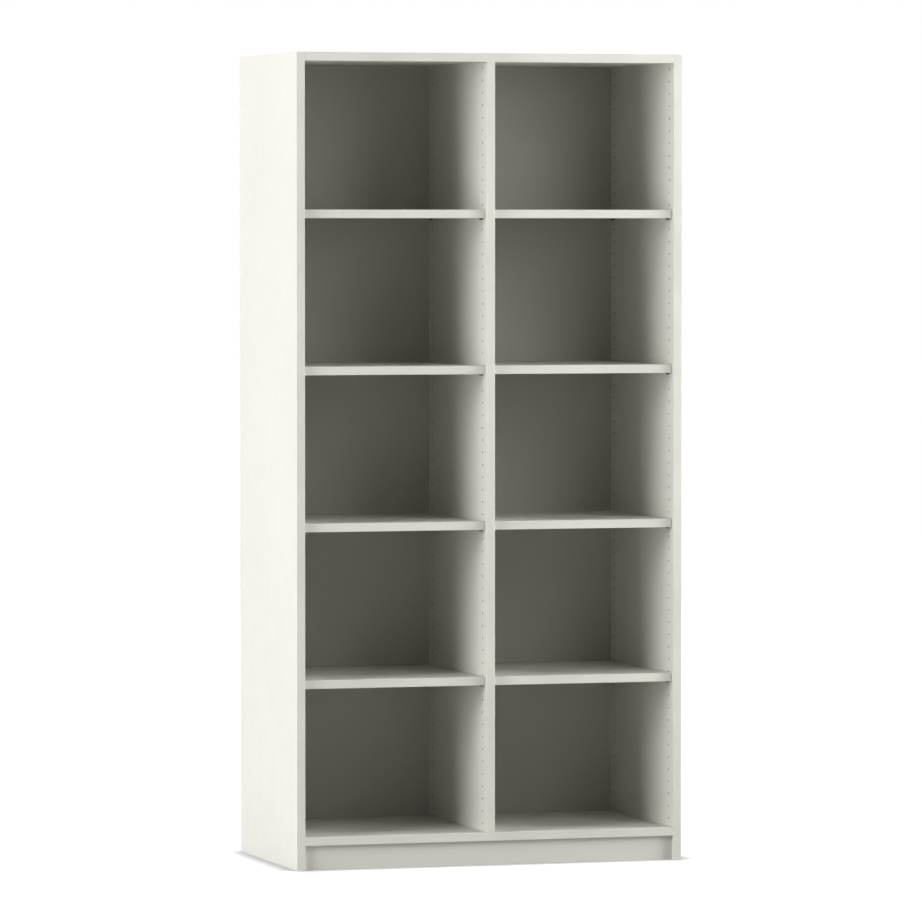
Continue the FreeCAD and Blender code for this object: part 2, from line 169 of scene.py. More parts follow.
# Panel screws: a flat head with a hexagonal socket, a plain neck and a coarse thread
SCREW_LENGTH = 0.050
SCREW_RADIUS = 0.0032
SCREW_HEAD_RADIUS = 0.005
SCREW_HEAD_ROUND = 0.0003
SCREW_HEAD_EDGE = 0.0012
SCREW_HEAD_HEIGHT = 0.0035
SCREW_NECK_RADIUS = 0.0027
SCREW_NECK_END = 0.010
SCREW_THREAD_GAP = 0.001
SCREW_THREAD_PITCH = 0.0028
SCREW_ROOT_RADIUS = 0.0023
SCREW_POINT_LENGTH = 0.003
SCREW_POINT_RADIUS = 0.0007
SOCKET_RADIUS = 0.0023
SOCKET_DEPTH = 0.0022
SOCKET_SIDES = 6

# Softened edges and grooves
BOARD_EDGE = 0.00025
BOARD_EDGE_STEPS = 2
BAND_EDGE = 0.00035
BAND_EDGE_STEPS = 3
GROOVE_ROOM = 0.0003

# Meshes: how close two places count as one, in metres and in digits, and how sharp an edge has to be
MELT_DISTANCE = 0.00001
PLACE_DIGITS = 5
ORDER_DIGITS = 4
SHARP_ANGLE = math.radians(30)
PIECE_SIDES = 32
HOLE_SIDES = 24

# The cosine from which a face looks straight along an axis, and from which it roughly faces a way
STRAIGHT = 0.999
FACING = 0.9

# Where the core stands in a board's two materials
CORE_SLOT = 1

# Camera: measured from the edges and the holes in the photograph
CAMERA_PLACE = (-5.0240, -16.2750, 1.6533)
CAMERA_YAW = -0.29964
CAMERA_PITCH = -0.03624
CAMERA_FOCUS_PIXELS = 6507.73
PHOTO_PIXELS = 922
SENSOR_MM = 36.0
CAMERA_REACH = 200

# Floor: a little darker near the bookcase than the white that it fades to, with a painted contact shadow
# from ambient occlusion where they touch
FLOOR_HALF = 60.0
FLOOR_LIFT_NEAR = 0.66
FLOOR_FADE = 2.0
PAINTED_CONTACT_SHADOW_REACH = 0.06
PAINTED_CONTACT_SHADOW_DEPTH = 3.5
PAINTED_CONTACT_SHADOW_SAMPLES = 16

# Light: level is the light that a lamp gives a white face turned to it, where 1 shows the face's own colour.
# Azimuth is 0 in front and 90 on the right, and both angles are in degrees.
AMBIENT_LEVEL = 0.02
LAMP_DISTANCE = 7.0
LAMP_SIZE = 3.0
LAMPS = {
    "left_softbox": {"azimuth": -70, "elevation": 5, "level": 0.54},
    "left_high_softbox": {"azimuth": -76, "elevation": 22, "level": 0.45},
    "right_softbox": {"azimuth": 68, "elevation": 5, "level": 0.84},
    "right_high_softbox": {"azimuth": 76, "elevation": 22, "level": 0.26},
    "front_softbox": {"azimuth": 30, "elevation": 25, "level": 0.26, "distance": 3.0, "size": 1.5},
    "rear_left_softbox": {"azimuth": -120, "elevation": 5, "level": 0.16},
    "rear_softbox": {"azimuth": 180, "elevation": 48, "level": 0.80},
}

# Ways along the axes
DOWN = (0, 0, -1)
UP = (0, 0, 1)
LEFT = (-1, 0, 0)
RIGHT = (1, 0, 0)
FRONT = (0, -1, 0)
REAR = (0, 1, 0)

# The faces of each board that have no melamine or edging, and show the chipboard
RAW_FACES = {
    "left_side_panel": (DOWN, FRONT),
    "right_side_panel": (DOWN, FRONT),
    "centre_divider": (DOWN, UP, FRONT),
    "top_panel": (LEFT, RIGHT, FRONT),
    "bottom_panel": (LEFT, RIGHT, FRONT),
    "plinth_board": (LEFT, RIGHT, DOWN),
    "rear_plinth_rail": (LEFT, RIGHT, DOWN),
    "plinth_bearer": (FRONT, REAR, DOWN),
}


# Materials

def new_material(name, values):
    """A material with a principled shader, and the shader's plain values."""
    material = bpy.data.materials.new(name)
    material.use_nodes = True
    shader = material.node_tree.nodes["Principled BSDF"]
    for socket, value in values.items():
        shader.inputs[socket].default_value = value
    return material, material.node_tree, shader


def add(tree, kind, values=None, **settings):
    """A node with the values of its inputs, by name or by number, and its settings."""
    node = tree.nodes.new(kind)
    for setting, value in settings.items():
        setattr(node, setting, value)
    for socket, value in (values or {}).items():
        node.inputs[socket].default_value = value
    return node


def place_on_piece(tree, squeeze=(1, 1, 1)):
    """The place of a point on the object, in metres, squeezed along the grain."""
    place = add(tree, "ShaderNodeTexCoord").outputs["Object"]
    if squeeze == (1, 1, 1):
        return place
    mapping = add(tree, "ShaderNodeMapping", {"Scale": squeeze})
    tree.links.new(place, mapping.inputs["Vector"])
    return mapping.outputs["Vector"]


def noise(tree, place, scale, detail=2.0, roughness=0.5):
    """A noise field of so many cells per metre."""
    field = add(tree, "ShaderNodeTexNoise", {"Scale": scale, "Detail": detail, "Roughness": roughness})
    tree.links.new(place, field.inputs["Vector"])
    return field.outputs["Fac"]


def spread(tree, value, low, high, start=0.35, end=0.65):
    """A field's range from start to end, mapped to two values."""
    limits = {"From Min": start, "From Max": end, "To Min": low, "To Max": high}
    ranged = add(tree, "ShaderNodeMapRange", limits)
    tree.links.new(value, ranged.inputs["Value"])
    return ranged.outputs["Result"]


def mixed(tree, factor, first, second):
    """A colour between two others, each a plain colour or an output."""
    mix = add(tree, "ShaderNodeMix", data_type="RGBA")
    tree.links.new(factor, mix.inputs["Factor"])
    for socket, colour in ((mix.inputs[MIX_FIRST], first), (mix.inputs[MIX_SECOND], second)):
        if isinstance(colour, tuple):
            socket.default_value = (*colour, 1)
        else:
            tree.links.new(colour, socket)
    return mix.outputs[MIX_RESULT]


def bumps(tree, shader, layers):
    """Relief from several fields, each with its height in metres."""
    normal = None
    for height, distance in layers:
        bump = add(tree, "ShaderNodeBump", {"Strength": 1.0, "Distance": distance})
        tree.links.new(height, bump.inputs["Height"])
        if normal:
            tree.links.new(normal, bump.inputs["Normal"])
        normal = bump.outputs["Normal"]
    tree.links.new(normal, shader.inputs["Normal"])


def edge_mask(tree, radius):
    """One at the very edge of a piece and nothing on its faces, from the lean of a rounded edge."""
    lean = add(tree, "ShaderNodeVectorMath", operation="DOT_PRODUCT")
    rounded = add(tree, "ShaderNodeBevel", {"Radius": radius}, samples=WEAR_SAMPLES)
    true = add(tree, "ShaderNodeNewGeometry")
    tree.links.new(rounded.outputs["Normal"], lean.inputs[0])
    tree.links.new(true.outputs["Normal"], lean.inputs[1])
    return spread(tree, lean.outputs["Value"], low=1.0, high=0.0, start=WORN_LEAN, end=PLAIN_LEAN)


def handled(tree, shader, colour, edge_radius, dust_share):
    """Wear along the edges: patchy dust where hands and books rub."""
    patches = noise(tree, place_on_piece(tree), scale=38, detail=4)
    worn = add(tree, "ShaderNodeMath", operation="MULTIPLY")
    tree.links.new(edge_mask(tree, edge_radius), worn.inputs[0])
    tree.links.new(spread(tree, patches, low=0.0, high=dust_share, start=0.42, end=0.7), worn.inputs[1])
    tree.links.new(mixed(tree, worn.outputs[0], colour, DUST), shader.inputs["Base Color"])


def board_finish(name, white, cloud, pearl, wave):
    """Matt warm white melamine: a fine pearl grain, slow waviness and faint clouds."""
    material, tree, shader = new_material(name, {"Specular IOR Level": 0.28})
    place = place_on_piece(tree)
    clouds = spread(tree, noise(tree, place, scale=2.4, detail=3), low=0.0, high=1.0, start=0.3, end=0.7)
    base = mixed(tree, clouds, white, cloud)
    grain = noise(tree, place, scale=620, detail=3, roughness=0.7)
    speckle = spread(tree, grain, low=0.0, high=0.12, start=0.5, end=0.8)
    handled(tree, shader, mixed(tree, speckle, base, DUST), edge_radius=0.0016, dust_share=0.35)
    sheen = spread(tree, noise(tree, place, scale=17, detail=6), low=0.44, high=0.58)
    tree.links.new(sheen, shader.inputs["Roughness"])
    waves = noise(tree, place, scale=8, detail=1)
    pearls = noise(tree, place, scale=1250, detail=2)
    bumps(tree, shader, [(waves, wave), (pearls, pearl)])
    return material


def band_finish(name, along):
    """Plastic edging: smoother than the board, with scraper marks that run along it."""
    material, tree, shader = new_material(name, {"Specular IOR Level": 0.35})
    squeeze = tuple(STREAK_SQUEEZE if axis == along else 1.0 for axis in "XYZ")
    streaks = noise(tree, place_on_piece(tree, squeeze), scale=1600, detail=3, roughness=0.6)
    place = place_on_piece(tree)
    clouds = spread(tree, noise(tree, place, scale=5, detail=3), low=0.0, high=1.0)
    handled(tree, shader, mixed(tree, clouds, BAND_WHITE, WHITE_CLOUD), edge_radius=0.0012, dust_share=0.45)
    tree.links.new(spread(tree, streaks, low=0.32, high=0.46), shader.inputs["Roughness"])
    waves = noise(tree, place, scale=60, detail=2)
    bumps(tree, shader, [(waves, BAND_WAVE), (streaks, BAND_STREAKS)])
    return material


def core_finish(name):
    """Raw chipboard, in the holes and on the hidden edges: pressed flakes of several browns."""
    material, tree, shader = new_material(name, {"Specular IOR Level": 0.2, "Roughness": 0.9})
    place = place_on_piece(tree)
    flakes = add(tree, "ShaderNodeTexVoronoi", {"Scale": 420.0, "Randomness": 1.0})
    tree.links.new(place, flakes.inputs["Vector"])
    tone = add(tree, "ShaderNodeSeparateColor")
    tree.links.new(flakes.outputs["Color"], tone.inputs["Color"])
    fibres = noise(tree, place, scale=1400, detail=4, roughness=0.7)
    base = mixed(tree, tone.outputs["Red"], CORE_LIGHT, CORE_DARK)
    shade = spread(tree, fibres, low=0.0, high=0.5)
    tree.links.new(mixed(tree, shade, base, CORE_DARK), shader.inputs["Base Color"])
    bumps(tree, shader, [(flakes.outputs["Distance"], FLAKE_RELIEF), (fibres, FIBRE_RELIEF)])
    return material


def metal_finish(name, colour, grain, rough):
    """Plated steel or die-cast zinc: a fine or a coarse grain, with dulled patches."""
    material, tree, shader = new_material(name, {"Metallic": 1.0})
    place = place_on_piece(tree)
    dulled = tuple(METAL_DULLING * part for part in colour)
    patches = spread(tree, noise(tree, place, scale=260, detail=4), low=0.0, high=1.0)
    tree.links.new(mixed(tree, patches, colour, dulled), shader.inputs["Base Color"])
    haze = spread(tree, noise(tree, place, scale=900, detail=3), low=rough, high=rough + METAL_HAZE)
    tree.links.new(haze, shader.inputs["Roughness"])
    grains = noise(tree, place, scale=grain["cells"], detail=3, roughness=0.7)
    bumps(tree, shader, [(grains, grain["relief"])])
    return material


def beech_finish(name):
    """Plain beech: short fine grain, with small darker flecks."""
    material, tree, shader = new_material(name, {"Roughness": 0.62, "Specular IOR Level": 0.3})
    place = place_on_piece(tree, squeeze=(GRAIN_SQUEEZE, 1.0, 1.0))
    grain = noise(tree, place, scale=900, detail=5, roughness=0.65)
    flecks = spread(tree, grain, low=0.0, high=1.0)
    tree.links.new(mixed(tree, flecks, BEECH_LIGHT, BEECH_DARK), shader.inputs["Base Color"])
    bumps(tree, shader, [(grain, BEECH_RELIEF)])
    return material


BOARD = board_finish("melamine_white", WHITE, WHITE_CLOUD, BOARD_PEARL, BOARD_WAVE)
# A darker copy of the board finish for the back panels: partly a greyer hardboard, partly painted shade at
# the back of the bays
BACK = board_finish("back_board_white_painted_shade", BACK_WHITE_AND_PAINTED_SHADE, BACK_CLOUD_AND_PAINTED_SHADE, BACK_PEARL, BACK_WAVE)
BAND_UPRIGHT = band_finish("edging_upright", "Z")
BAND_LEVEL = band_finish("edging_level", "X")
CORE = core_finish("chipboard_core")
# Darkened steel: partly the pins' own dark plating, partly painted shade under the shelf ends
PIN_STEEL_AND_PAINTED_SHADE = metal_finish("darkened_steel_painted_shade", DARK_STEEL_AND_PAINTED_SHADE, PLATED, rough=0.34)
BOLT_PLATE = metal_finish("nickel_plate", NICKEL, PLATED, rough=0.22)
LOCK_ZINC = metal_finish("die_cast_zinc", ZINC, CAST, rough=0.38)
SCREW_PLATE = metal_finish("yellow_zinc_plate", YELLOW_ZINC, PLATED, rough=0.28)
BEECH = beech_finish("plain_beech")


# Mesh helpers

def solids(node):
    """The lowest and the highest corner of every separate solid in a CAD node."""
    mesh = bmesh.new()
    mesh.from_mesh(nodes[node].data)
    bmesh.ops.remove_doubles(mesh, verts=mesh.verts, dist=MELT_DISTANCE)
    left = set(mesh.verts)
    boxes = []
    while left:
        reached = [left.pop()]
        members = []
        while reached:
            vertex = reached.pop()
            members.append(vertex.co.copy())
            for edge in vertex.link_edges:
                other = edge.other_vert(vertex)
                if other in left:
                    left.remove(other)
                    reached.append(other)
        low = Vector(min(point[axis] for point in members) for axis in range(3))
        high = Vector(max(point[axis] for point in members) for axis in range(3))
        boxes.append((low, high))
    mesh.free()
    return sorted(boxes, key=lambda box: tuple(round(value, ORDER_DIGITS) for value in box[0]))


def smooth(data):
    """Shades mesh data smooth but for its sharp edges."""
    data.polygons.foreach_set("use_smooth", [True] * len(data.polygons))
    data.set_sharp_from_angle(angle=SHARP_ANGLE)


def flatten(data):
    """Shades faces that look straight along an axis flat, so that only holes and soft edges look round."""
    for face in data.polygons:
        if max(abs(part) for part in face.normal) > STRAIGHT:
            face.use_smooth = False


def piece_from(mesh, name, materials):
    """A shown object from a mesh under construction."""
    data = bpy.data.meshes.new(name)
    bmesh.ops.recalc_face_normals(mesh, faces=mesh.faces)
    mesh.to_mesh(data)
    mesh.free()
    for material in materials:
        data.materials.append(material)
    smooth(data)
    piece = bpy.data.objects.new(name, data)
    bpy.context.scene.collection.objects.link(piece)
    return piece


def loft(mesh, rings, material=0):
    """Adds a closed solid through rings of points that have the same count."""
    loops = [[mesh.verts.new(point) for point in ring] for ring in rings]
    faces = [mesh.faces.new(loops[0][::-1]), mesh.faces.new(loops[-1])]
    for lower, upper in zip(loops, loops[1:]):
        for step in range(len(lower)):
            after = (step + 1) % len(lower)
            faces.append(mesh.faces.new((lower[step], lower[after], upper[after], upper[step])))
    for face in faces:
        face.material_index = material


def turned(mesh, profile, start, way, sides=PIECE_SIDES, material=0, flute=0.0):
    """Adds a turned solid: pairs of distance along and radius, spun. Flutes lower every other side."""
    turn = Vector((0, 0, 1)).rotation_difference(way)
    rings = []
    for along, radius in profile:
        ring = []
        for step in range(sides):
            angle = 2 * math.pi * step / sides
            reach = radius - (flute if step % 2 else 0)
            ring.append(start + turn @ Vector((reach * math.cos(angle), reach * math.sin(angle), along)))
        rings.append(ring)
    loft(mesh, rings, material)


def add_box(mesh, first, second, material=0):
    """Adds a box between two opposite corners."""
    low = [min(pair) for pair in zip(first, second)]
    high = [max(pair) for pair in zip(first, second)]
    outline = ((low[0], low[1]), (high[0], low[1]), (high[0], high[1]), (low[0], high[1]))
    loft(mesh, [[Vector((x, y, z)) for x, y in outline] for z in (low[2], high[2])], material)


def cut(piece, cutter_mesh):
    """Takes the solids of a cutter away from a piece."""
    cutter = piece_from(cutter_mesh, piece.name + "_cutter", list(piece.data.materials))
    modifier = piece.modifiers.new("cut", "BOOLEAN")
    modifier.operation = "DIFFERENCE"
    modifier.solver = "EXACT"
    modifier.object = cutter
    bpy.context.view_layer.update()
    result = bpy.data.meshes.new_from_object(piece.evaluated_get(bpy.context.evaluated_depsgraph_get()))
    smooth(result)
    piece.modifiers.clear()
    piece.data = result
    bpy.data.objects.remove(cutter)


def meets(box, low, high):
    """Whether a box meets the space between two corners."""
    return all(box[0][axis] < high[axis] and box[1][axis] > low[axis] for axis in range(3))


def stand_for(piece, node):
    """Lets a piece ride with the carcass in place of a CAD node, with its finish."""
    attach(piece, "carcass")
    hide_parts(node)


# Holes: each is kept for every board that it passes through

Hole = namedtuple("Hole", "profile start way box")
holes = []


def note_hole(profile, start, way):
    """Keeps the turned outline of a hole, and the box that it fills."""
    reach = max(radius for along, radius in profile)
    ends = [start + way * along for along, radius in (profile[0], profile[-1])]
    margin = Vector(0 if way[axis] else reach for axis in range(3))
    low = Vector(min(end[axis] for end in ends) for axis in range(3)) - margin
    high = Vector(max(end[axis] for end in ends) for axis in range(3)) + margin
    holes.append(Hole(profile, start, way, (low, high)))


def straight_hole(radius, length):
    """The outline of the hole around a rod."""
    return [(-END_ROOM, radius + FIT), (length + END_ROOM, radius + FIT)]


# Small fixings: the place of each comes from its own CAD solid

def long_axis(low, high):
    """The middle of the lower end, the direction and the length of a box along its longest side."""
    size = high - low
    axis = max(range(3), key=lambda index: size[index])
    start = (low + high) / 2
    start[axis] = low[axis]
    way = Vector((0, 0, 0))
    way[axis] = 1
    return start, way, size[axis]


def outer_face(low, high):
    """Where a fixing that is driven from above or below starts, and its way into the boards."""
    middle = (low + high) / 2
    from_top = middle.z > (cad_box[0].z + cad_box[1].z) / 2
    start = Vector((middle.x, middle.y, high.z if from_top else low.z))
    return start, Vector((0, 0, -1 if from_top else 1))


def rounded_rod(radius, length, chamfer):
    """The outline of a rod with both its ends chamfered."""
    return [(0, radius - chamfer), (chamfer, radius), (length - chamfer, radius), (length, radius - chamfer)]


def thread(start, end, pitch, root, crest):
    """The outline of a coarse thread: one ridge for each turn that fits."""
    outline = []
    for turn in range(int((end - start) / pitch)):
        low = start + turn * pitch
        outline += [(low, root), (low + THREAD_CREST * pitch, crest), (low + THREAD_FOOT * pitch, root)]
    return outline


def support_pins(node):
    """Four round pins with chamfered ends, in a steel darkened partly as dark plating and partly as painted
    shade under each shelf end.
    """
    mesh = bmesh.new()
    for low, high in solids(node):
        start, way, length = long_axis(low, high)
        turned(mesh, rounded_rod((high.z - low.z) / 2, length, PIN_CHAMFER), start, way)
    stand_for(piece_from(mesh, node + "_turned", [PIN_STEEL_AND_PAINTED_SHADE]), node)


def fluted_dowels(node):
    """Beech dowels with pressed flutes and chamfered ends."""
    mesh = bmesh.new()
    for low, high in solids(node):
        start, way, length = long_axis(low, high)
        profile = rounded_rod(DOWEL_RADIUS, length, DOWEL_CHAMFER)
        turned(mesh, profile, start, way, sides=2 * DOWEL_FLUTES, flute=FLUTE_DEPTH)
        note_hole(straight_hole(DOWEL_RADIUS, length), start, way)
    stand_for(piece_from(mesh, node + "_fluted", [BEECH]), node)


def bolt_outline(length):
    """The outline of a cam bolt: a thread, a neck, a waist and a round head."""
    head = length - BOLT_HEAD_LENGTH
    ridges = thread(BOLT_CHAMFER, BOLT_THREAD_LENGTH, BOLT_THREAD_PITCH, BOLT_ROOT_RADIUS, BOLT_RADIUS)
    return [
        (0, BOLT_ROOT_RADIUS - BOLT_CHAMFER),
        *ridges,
        (BOLT_THREAD_LENGTH, BOLT_NECK_RADIUS),
        (BOLT_NECK_END, BOLT_NECK_RADIUS),
        (BOLT_NECK_END + BOLT_CONE, BOLT_WAIST_RADIUS),
        (head, BOLT_WAIST_RADIUS),
        (head + BOLT_CONE, BOLT_HEAD_RADIUS),
        (length - BOLT_TIP_LENGTH, BOLT_HEAD_RADIUS),
        (length, BOLT_TIP_RADIUS),
    ]


def cam_bolts(node):
    """Steel bolts, each with its thread in a side panel and the head that the cam grips in the board."""
    mesh = bmesh.new()
    for low, high in solids(node):
        start, way, length = long_axis(low, high)
        if start.x > 0:
            start = start + way * length
            way = -way
        turned(mesh, bolt_outline(length), start, way)
        note_hole(straight_hole(BOLT_RADIUS, length), start, way)
    stand_for(piece_from(mesh, node + "_turned", [BOLT_PLATE]), node)


def drum_outline():
    """The outline of a cam lock: a drum whose face lies a little inside a raised rim."""
    return [
        (LOCK_RIM_DEPTH, LOCK_RIM_RADIUS - LOCK_CHAMFER),
        (LOCK_RIM_DEPTH, LOCK_RIM_RADIUS - LOCK_CHAMFER / 2),
        (0, LOCK_RIM_RADIUS),
        (0, LOCK_RADIUS - LOCK_CHAMFER),
        (LOCK_CHAMFER, LOCK_RADIUS),
        (LOCK_HEIGHT - LOCK_CHAMFER, LOCK_RADIUS),
        (LOCK_HEIGHT, LOCK_RADIUS - LOCK_CHAMFER),
    ]


def recess_bar(mesh, start, way, along):
    """Adds one bar of a driver's cross recess, a little smaller at its floor."""
    across = way.cross(along)
    rings = []
    for depth, share in ((-OVERRUN, 1.0), (LOCK_CROSS_DEPTH, LOCK_CROSS_TAPER)):
        reach = along * LOCK_CROSS_REACH * share
        half = across * LOCK_CROSS_WIDTH / 2 * share
        middle = start + way * depth
        rings.append([
            middle + reach + half,
            middle - reach + half,
            middle - reach - half,
            middle + reach - half,
        ])
    loft(mesh, rings)


def cam_locks(node):
    """Zinc drums with a raised rim, a cross recess and a jaw for the bolt's head."""
    board_low, board_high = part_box("top_panel")
    bolt_depth = (board_high.z - board_low.z) / 2
    jaw_half = BOLT_RADIUS + FIT
    hole = [(-OVERRUN, LOCK_RADIUS + FIT), (LOCK_HEIGHT + END_ROOM, LOCK_RADIUS + FIT)]
    drum = bmesh.new()
    jaws = bmesh.new()
    recesses = {RIGHT: bmesh.new(), REAR: bmesh.new()}
    for low, high in solids(node):
        start, way = outer_face(low, high)
        turned(drum, drum_outline(), start, way)
        for along, bars in recesses.items():
            recess_bar(bars, start + way * LOCK_RIM_DEPTH, way, Vector(along))
        outward = Vector((math.copysign(1, start.x), 0, 0))
        across = Vector((0, jaw_half, 0))
        jaw_start = start + way * (bolt_depth - jaw_half) - outward * LOCK_JAW_BACK - across
        jaw_end = start + way * (LOCK_HEIGHT + OVERRUN) + outward * LOCK_JAW_REACH + across
        add_box(jaws, jaw_start, jaw_end)
        note_hole(hole, start, way)
    piece = piece_from(drum, node + "_cast", [LOCK_ZINC])
    for cutter in (*recesses.values(), jaws):
        cut(piece, cutter)
    stand_for(piece, node)


def screw_outline():
    """The outline of a panel screw: a flat head, a plain neck, a coarse thread and a blunt point."""
    point = SCREW_LENGTH - SCREW_POINT_LENGTH
    thread_start = SCREW_NECK_END + SCREW_THREAD_GAP
    ridges = thread(thread_start, point, SCREW_THREAD_PITCH, SCREW_ROOT_RADIUS, SCREW_RADIUS)
    return [
        (0, SCREW_HEAD_RADIUS - SCREW_HEAD_ROUND),
        (SCREW_HEAD_ROUND, SCREW_HEAD_RADIUS),
        (SCREW_HEAD_EDGE, SCREW_HEAD_RADIUS),
        (SCREW_HEAD_HEIGHT, SCREW_NECK_RADIUS),
        (SCREW_NECK_END, SCREW_NECK_RADIUS),
        *ridges,
        (point, SCREW_ROOT_RADIUS),
        (SCREW_LENGTH, SCREW_POINT_RADIUS),
    ]


def panel_screws(node):
    """Plated screws for board edges, each with its stepped hole and the socket in its head."""
    socket = [(-OVERRUN, SOCKET_RADIUS), (SOCKET_DEPTH, SOCKET_RADIUS)]
    hole = [
        (-OVERRUN, SCREW_HEAD_RADIUS + FIT),
        (SCREW_HEAD_HEIGHT, SCREW_HEAD_RADIUS + FIT),
        (SCREW_HEAD_HEIGHT, SCREW_RADIUS + FIT),
        (SCREW_LENGTH + END_ROOM, SCREW_RADIUS + FIT),
    ]
    mesh = bmesh.new()
    sockets = bmesh.new()
    for low, high in solids(node):
        start, way = outer_face(low, high)
        turned(mesh, screw_outline(), start, way)
        turned(sockets, socket, start, way, SOCKET_SIDES)
        note_hole(hole, start, way)
    piece = piece_from(mesh, node + "_threaded", [SCREW_PLATE])
    cut(piece, sockets)
    stand_for(piece, node)


FIXINGS = {
    "_supports": support_pins,
    "_dowels": fluted_dowels,
    "_cam_bolts": cam_bolts,
    "_cam_locks": cam_locks,
    "_screws": panel_screws,
}


def make_fixings():
    """Every group of small fixings, each in place of its CAD node."""
    for node in sorted(nodes):
        for ending, make in FIXINGS.items():
            if node.endswith(ending):
                make(node)


# Drilled boards

def pin_middles():
    """The middle of every pin under the left bay's shelves."""
    groups = [node for node in nodes if node.startswith("left_shelf") and node.endswith("_supports")]
    return [(low + high) / 2 for node in groups for low, high in solids(node)]


def row_heights(supports):
    """Heights of the holes in a row: an even grid, but the hole nearest each shelf is at its own height."""
    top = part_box("top_panel")[0].z - ROW_END_MARGIN
    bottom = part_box("bottom_panel")[1].z + ROW_END_MARGIN
    heights = [top - step * ROW_PITCH for step in range(int((top - bottom) / ROW_PITCH) + 1)]
    for support in supports:
        nearest = min(range(len(heights)), key=lambda index: abs(heights[index] - support))
        heights[nearest] = support
    return heights


def note_rows():
    """Keeps the front and rear rows of shelf holes: blind in the sides, right through the divider."""
    pins = pin_middles()
    depths = sorted({round(pin.y, PLACE_DIGITS) for pin in pins})
    heights = row_heights(sorted({round(pin.z, PLACE_DIGITS) for pin in pins}))
    divider_low, divider_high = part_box("centre_divider")
    divider = divider_high.x - divider_low.x
    rim = ROW_HOLE_RADIUS + ROW_HOLE_RIM
    mouth = [(-OVERRUN, rim), (0, rim), (ROW_HOLE_RIM, ROW_HOLE_RADIUS)]
    blind = mouth + [(ROW_HOLE_DEPTH, ROW_HOLE_RADIUS), (ROW_HOLE_DEPTH + ROW_HOLE_TIP, ROW_HOLE_RIM)]
    through = mouth + [(divider - along, radius) for along, radius in reversed(mouth)]
    left_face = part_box("left_side_panel")[1].x
    right_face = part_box("right_side_panel")[0].x
    rows = ((left_face, LEFT, blind), (right_face, RIGHT, blind), (divider_low.x, RIGHT, through))
    for x, way, profile in rows:
        for y in depths:
            for height in heights:
                note_hole(profile, Vector((x, y, height)), Vector(way))


def apart(drilled):
    """Groups of the holes in which no two meet, so that each group can be cut at once."""
    groups = []
    for hole in drilled:
        for group in groups:
            if not any(meets(hole.box, *other.box) for other in group):
                group.append(hole)
                break
        else:
            groups.append([hole])
    return groups


def soft_board(low, high, raw_ways):
    """A plain board with softened edges. Its faces towards raw_ways show the core."""
    mesh = bmesh.new()
    add_box(mesh, low, high)
    bmesh.ops.recalc_face_normals(mesh, faces=mesh.faces)
    for face in mesh.faces:
        if any(face.normal.dot(Vector(way)) > FACING for way in raw_ways):
            face.material_index = CORE_SLOT
    edges = list(mesh.edges)
    bmesh.ops.bevel(
        mesh, geom=edges, offset=BOARD_EDGE, segments=BOARD_EDGE_STEPS, profile=0.5, affect="EDGES"
    )
    return mesh


def drill(piece, low, high):
    """Cuts every hole that meets a board between two corners."""
    for group in apart([hole for hole in holes if meets(hole.box, low, high)]):
        cutter = bmesh.new()
        for hole in group:
            turned(cutter, hole.profile, hole.start, hole.way, HOLE_SIDES, material=CORE_SLOT)
        cut(piece, cutter)


def cut_grooves(piece, low, high):
    """Cuts a groove for each back panel whose edge reaches into a board between two corners."""
    room = Vector((GROOVE_ROOM, 0, GROOVE_ROOM))
    behind = Vector((0, GROOVE_ROOM, 0))
    for back in ("left_back_panel", "right_back_panel"):
        back_low, back_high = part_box(back)
        if meets((back_low, back_high), low, high):
            groove = bmesh.new()
            add_box(groove, back_low - room, back_high + room + behind, material=CORE_SLOT)
            cut(piece, groove)


def drilled_board(node, raw_ways):
    """A board with its holes and grooves, in place of its CAD node."""
    low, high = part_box(node)
    piece = piece_from(soft_board(low, high, raw_ways), node + "_drilled", [BOARD, CORE])
    drill(piece, low, high)
    cut_grooves(piece, low, high)
    flatten(piece.data)
    stand_for(piece, node)


# The CAD pieces that stay: shelves, back panels and bands

def dress(node, material, width, segments):
    """Gives a CAD piece its material, and rounds its edges a little with modifiers."""
    piece = nodes[node]
    piece.data.materials.clear()
    piece.data.materials.append(material)
    weld = piece.modifiers.new("weld", "WELD")
    weld.merge_threshold = MELT_DISTANCE
    bevel = piece.modifiers.new("soft_edges", "BEVEL")
    bevel.width = width
    bevel.segments = segments
    bevel.limit_method = "ANGLE"
    bevel.angle_limit = SHARP_ANGLE
    bevel.harden_normals = True


def dress_kept_pieces():
    """Finishes for the shelves, the back panels and the bands."""
    for node in sorted(nodes):
        if node.endswith("_edge_band"):
            low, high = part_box(node)
            upright = high.z - low.z > high.x - low.x
            dress(node, BAND_UPRIGHT if upright else BAND_LEVEL, BAND_EDGE, BAND_EDGE_STEPS)
        elif node.endswith("_back_panel"):
            dress(node, BACK, BOARD_EDGE, BOARD_EDGE_STEPS)
        elif "_shelf_" in node and not node.endswith("_supports"):
            dress(node, BOARD, BOARD_EDGE, BOARD_EDGE_STEPS)


# Floor, background, lamps and camera

def camera_share(tree):
    """One for what the camera sees, also in a mirror or through glass, and nothing for the light itself."""
    rays = add(tree, "ShaderNodeLightPath")
    seen = rays.outputs["Is Camera Ray"]
    for kind in ("Is Glossy Ray", "Is Transmission Ray"):
        larger = add(tree, "ShaderNodeMath", operation="MAXIMUM")
        tree.links.new(seen, larger.inputs[0])
        tree.links.new(rays.outputs[kind], larger.inputs[1])
        seen = larger.outputs[0]
    return seen


